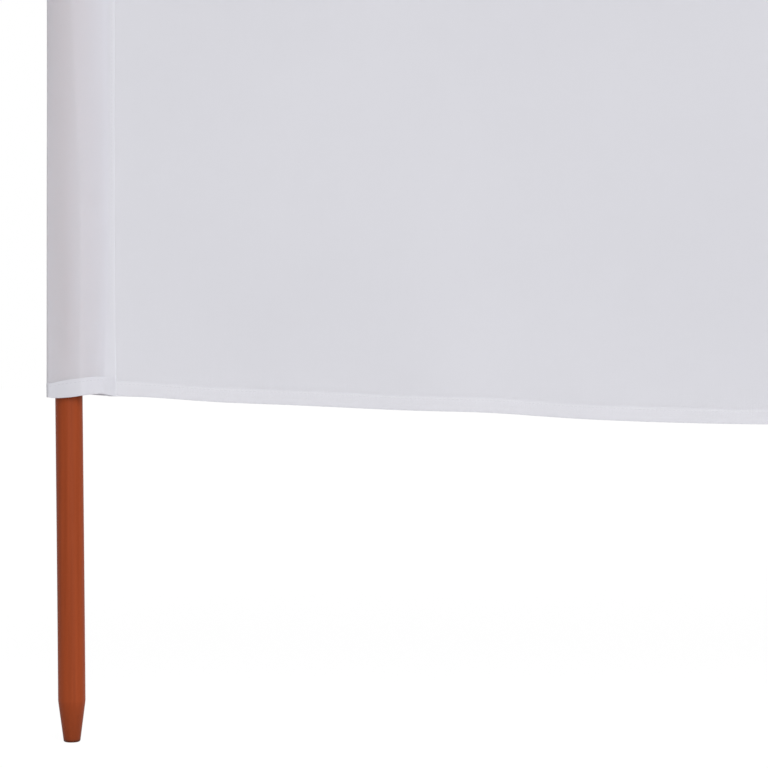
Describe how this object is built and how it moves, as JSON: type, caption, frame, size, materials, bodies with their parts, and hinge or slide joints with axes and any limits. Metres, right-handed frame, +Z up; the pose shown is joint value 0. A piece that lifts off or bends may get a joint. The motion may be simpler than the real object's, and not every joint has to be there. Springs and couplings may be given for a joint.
{
  "type": "beach windbreak",
  "caption": "Long screen of pale hemmed cloth with sewn pockets on round wooden poles, whose tapered lower ends are driven into sand to shelter people from wind.",
  "frame": {"origin": "centre of the flat tip of the middle pole", "axes": "+X along the strip, -Y out of its front, on which the pockets are sewn, and +Z up along the poles"},
  "size_m": [5.2442, 0.0381, 1.2],
  "materials": {
    "stained_wood": "red-brown stain, satin, fine lengthwise grain",
    "cloth": "plain woven off-white canvas, matt, slightly translucent"
  },
  "bodies": {
    "root": {"pole_1": "stained_wood", "pole_2": "stained_wood", "pole_3": "stained_wood", "pole_4": "stained_wood", "pole_5": "stained_wood", "pocket_1": "cloth", "pocket_2": "cloth", "pocket_3": "cloth", "pocket_4": "cloth", "pocket_5": "cloth", "panel_1": "cloth", "panel_2": "cloth", "panel_3": "cloth", "panel_4": "cloth", "top_hem_1": "cloth", "top_hem_2": "cloth", "top_hem_3": "cloth", "top_hem_4": "cloth", "bottom_hem_1": "cloth", "bottom_hem_2": "cloth", "bottom_hem_3": "cloth", "bottom_hem_4": "cloth"}
  },
  "joints": []
}
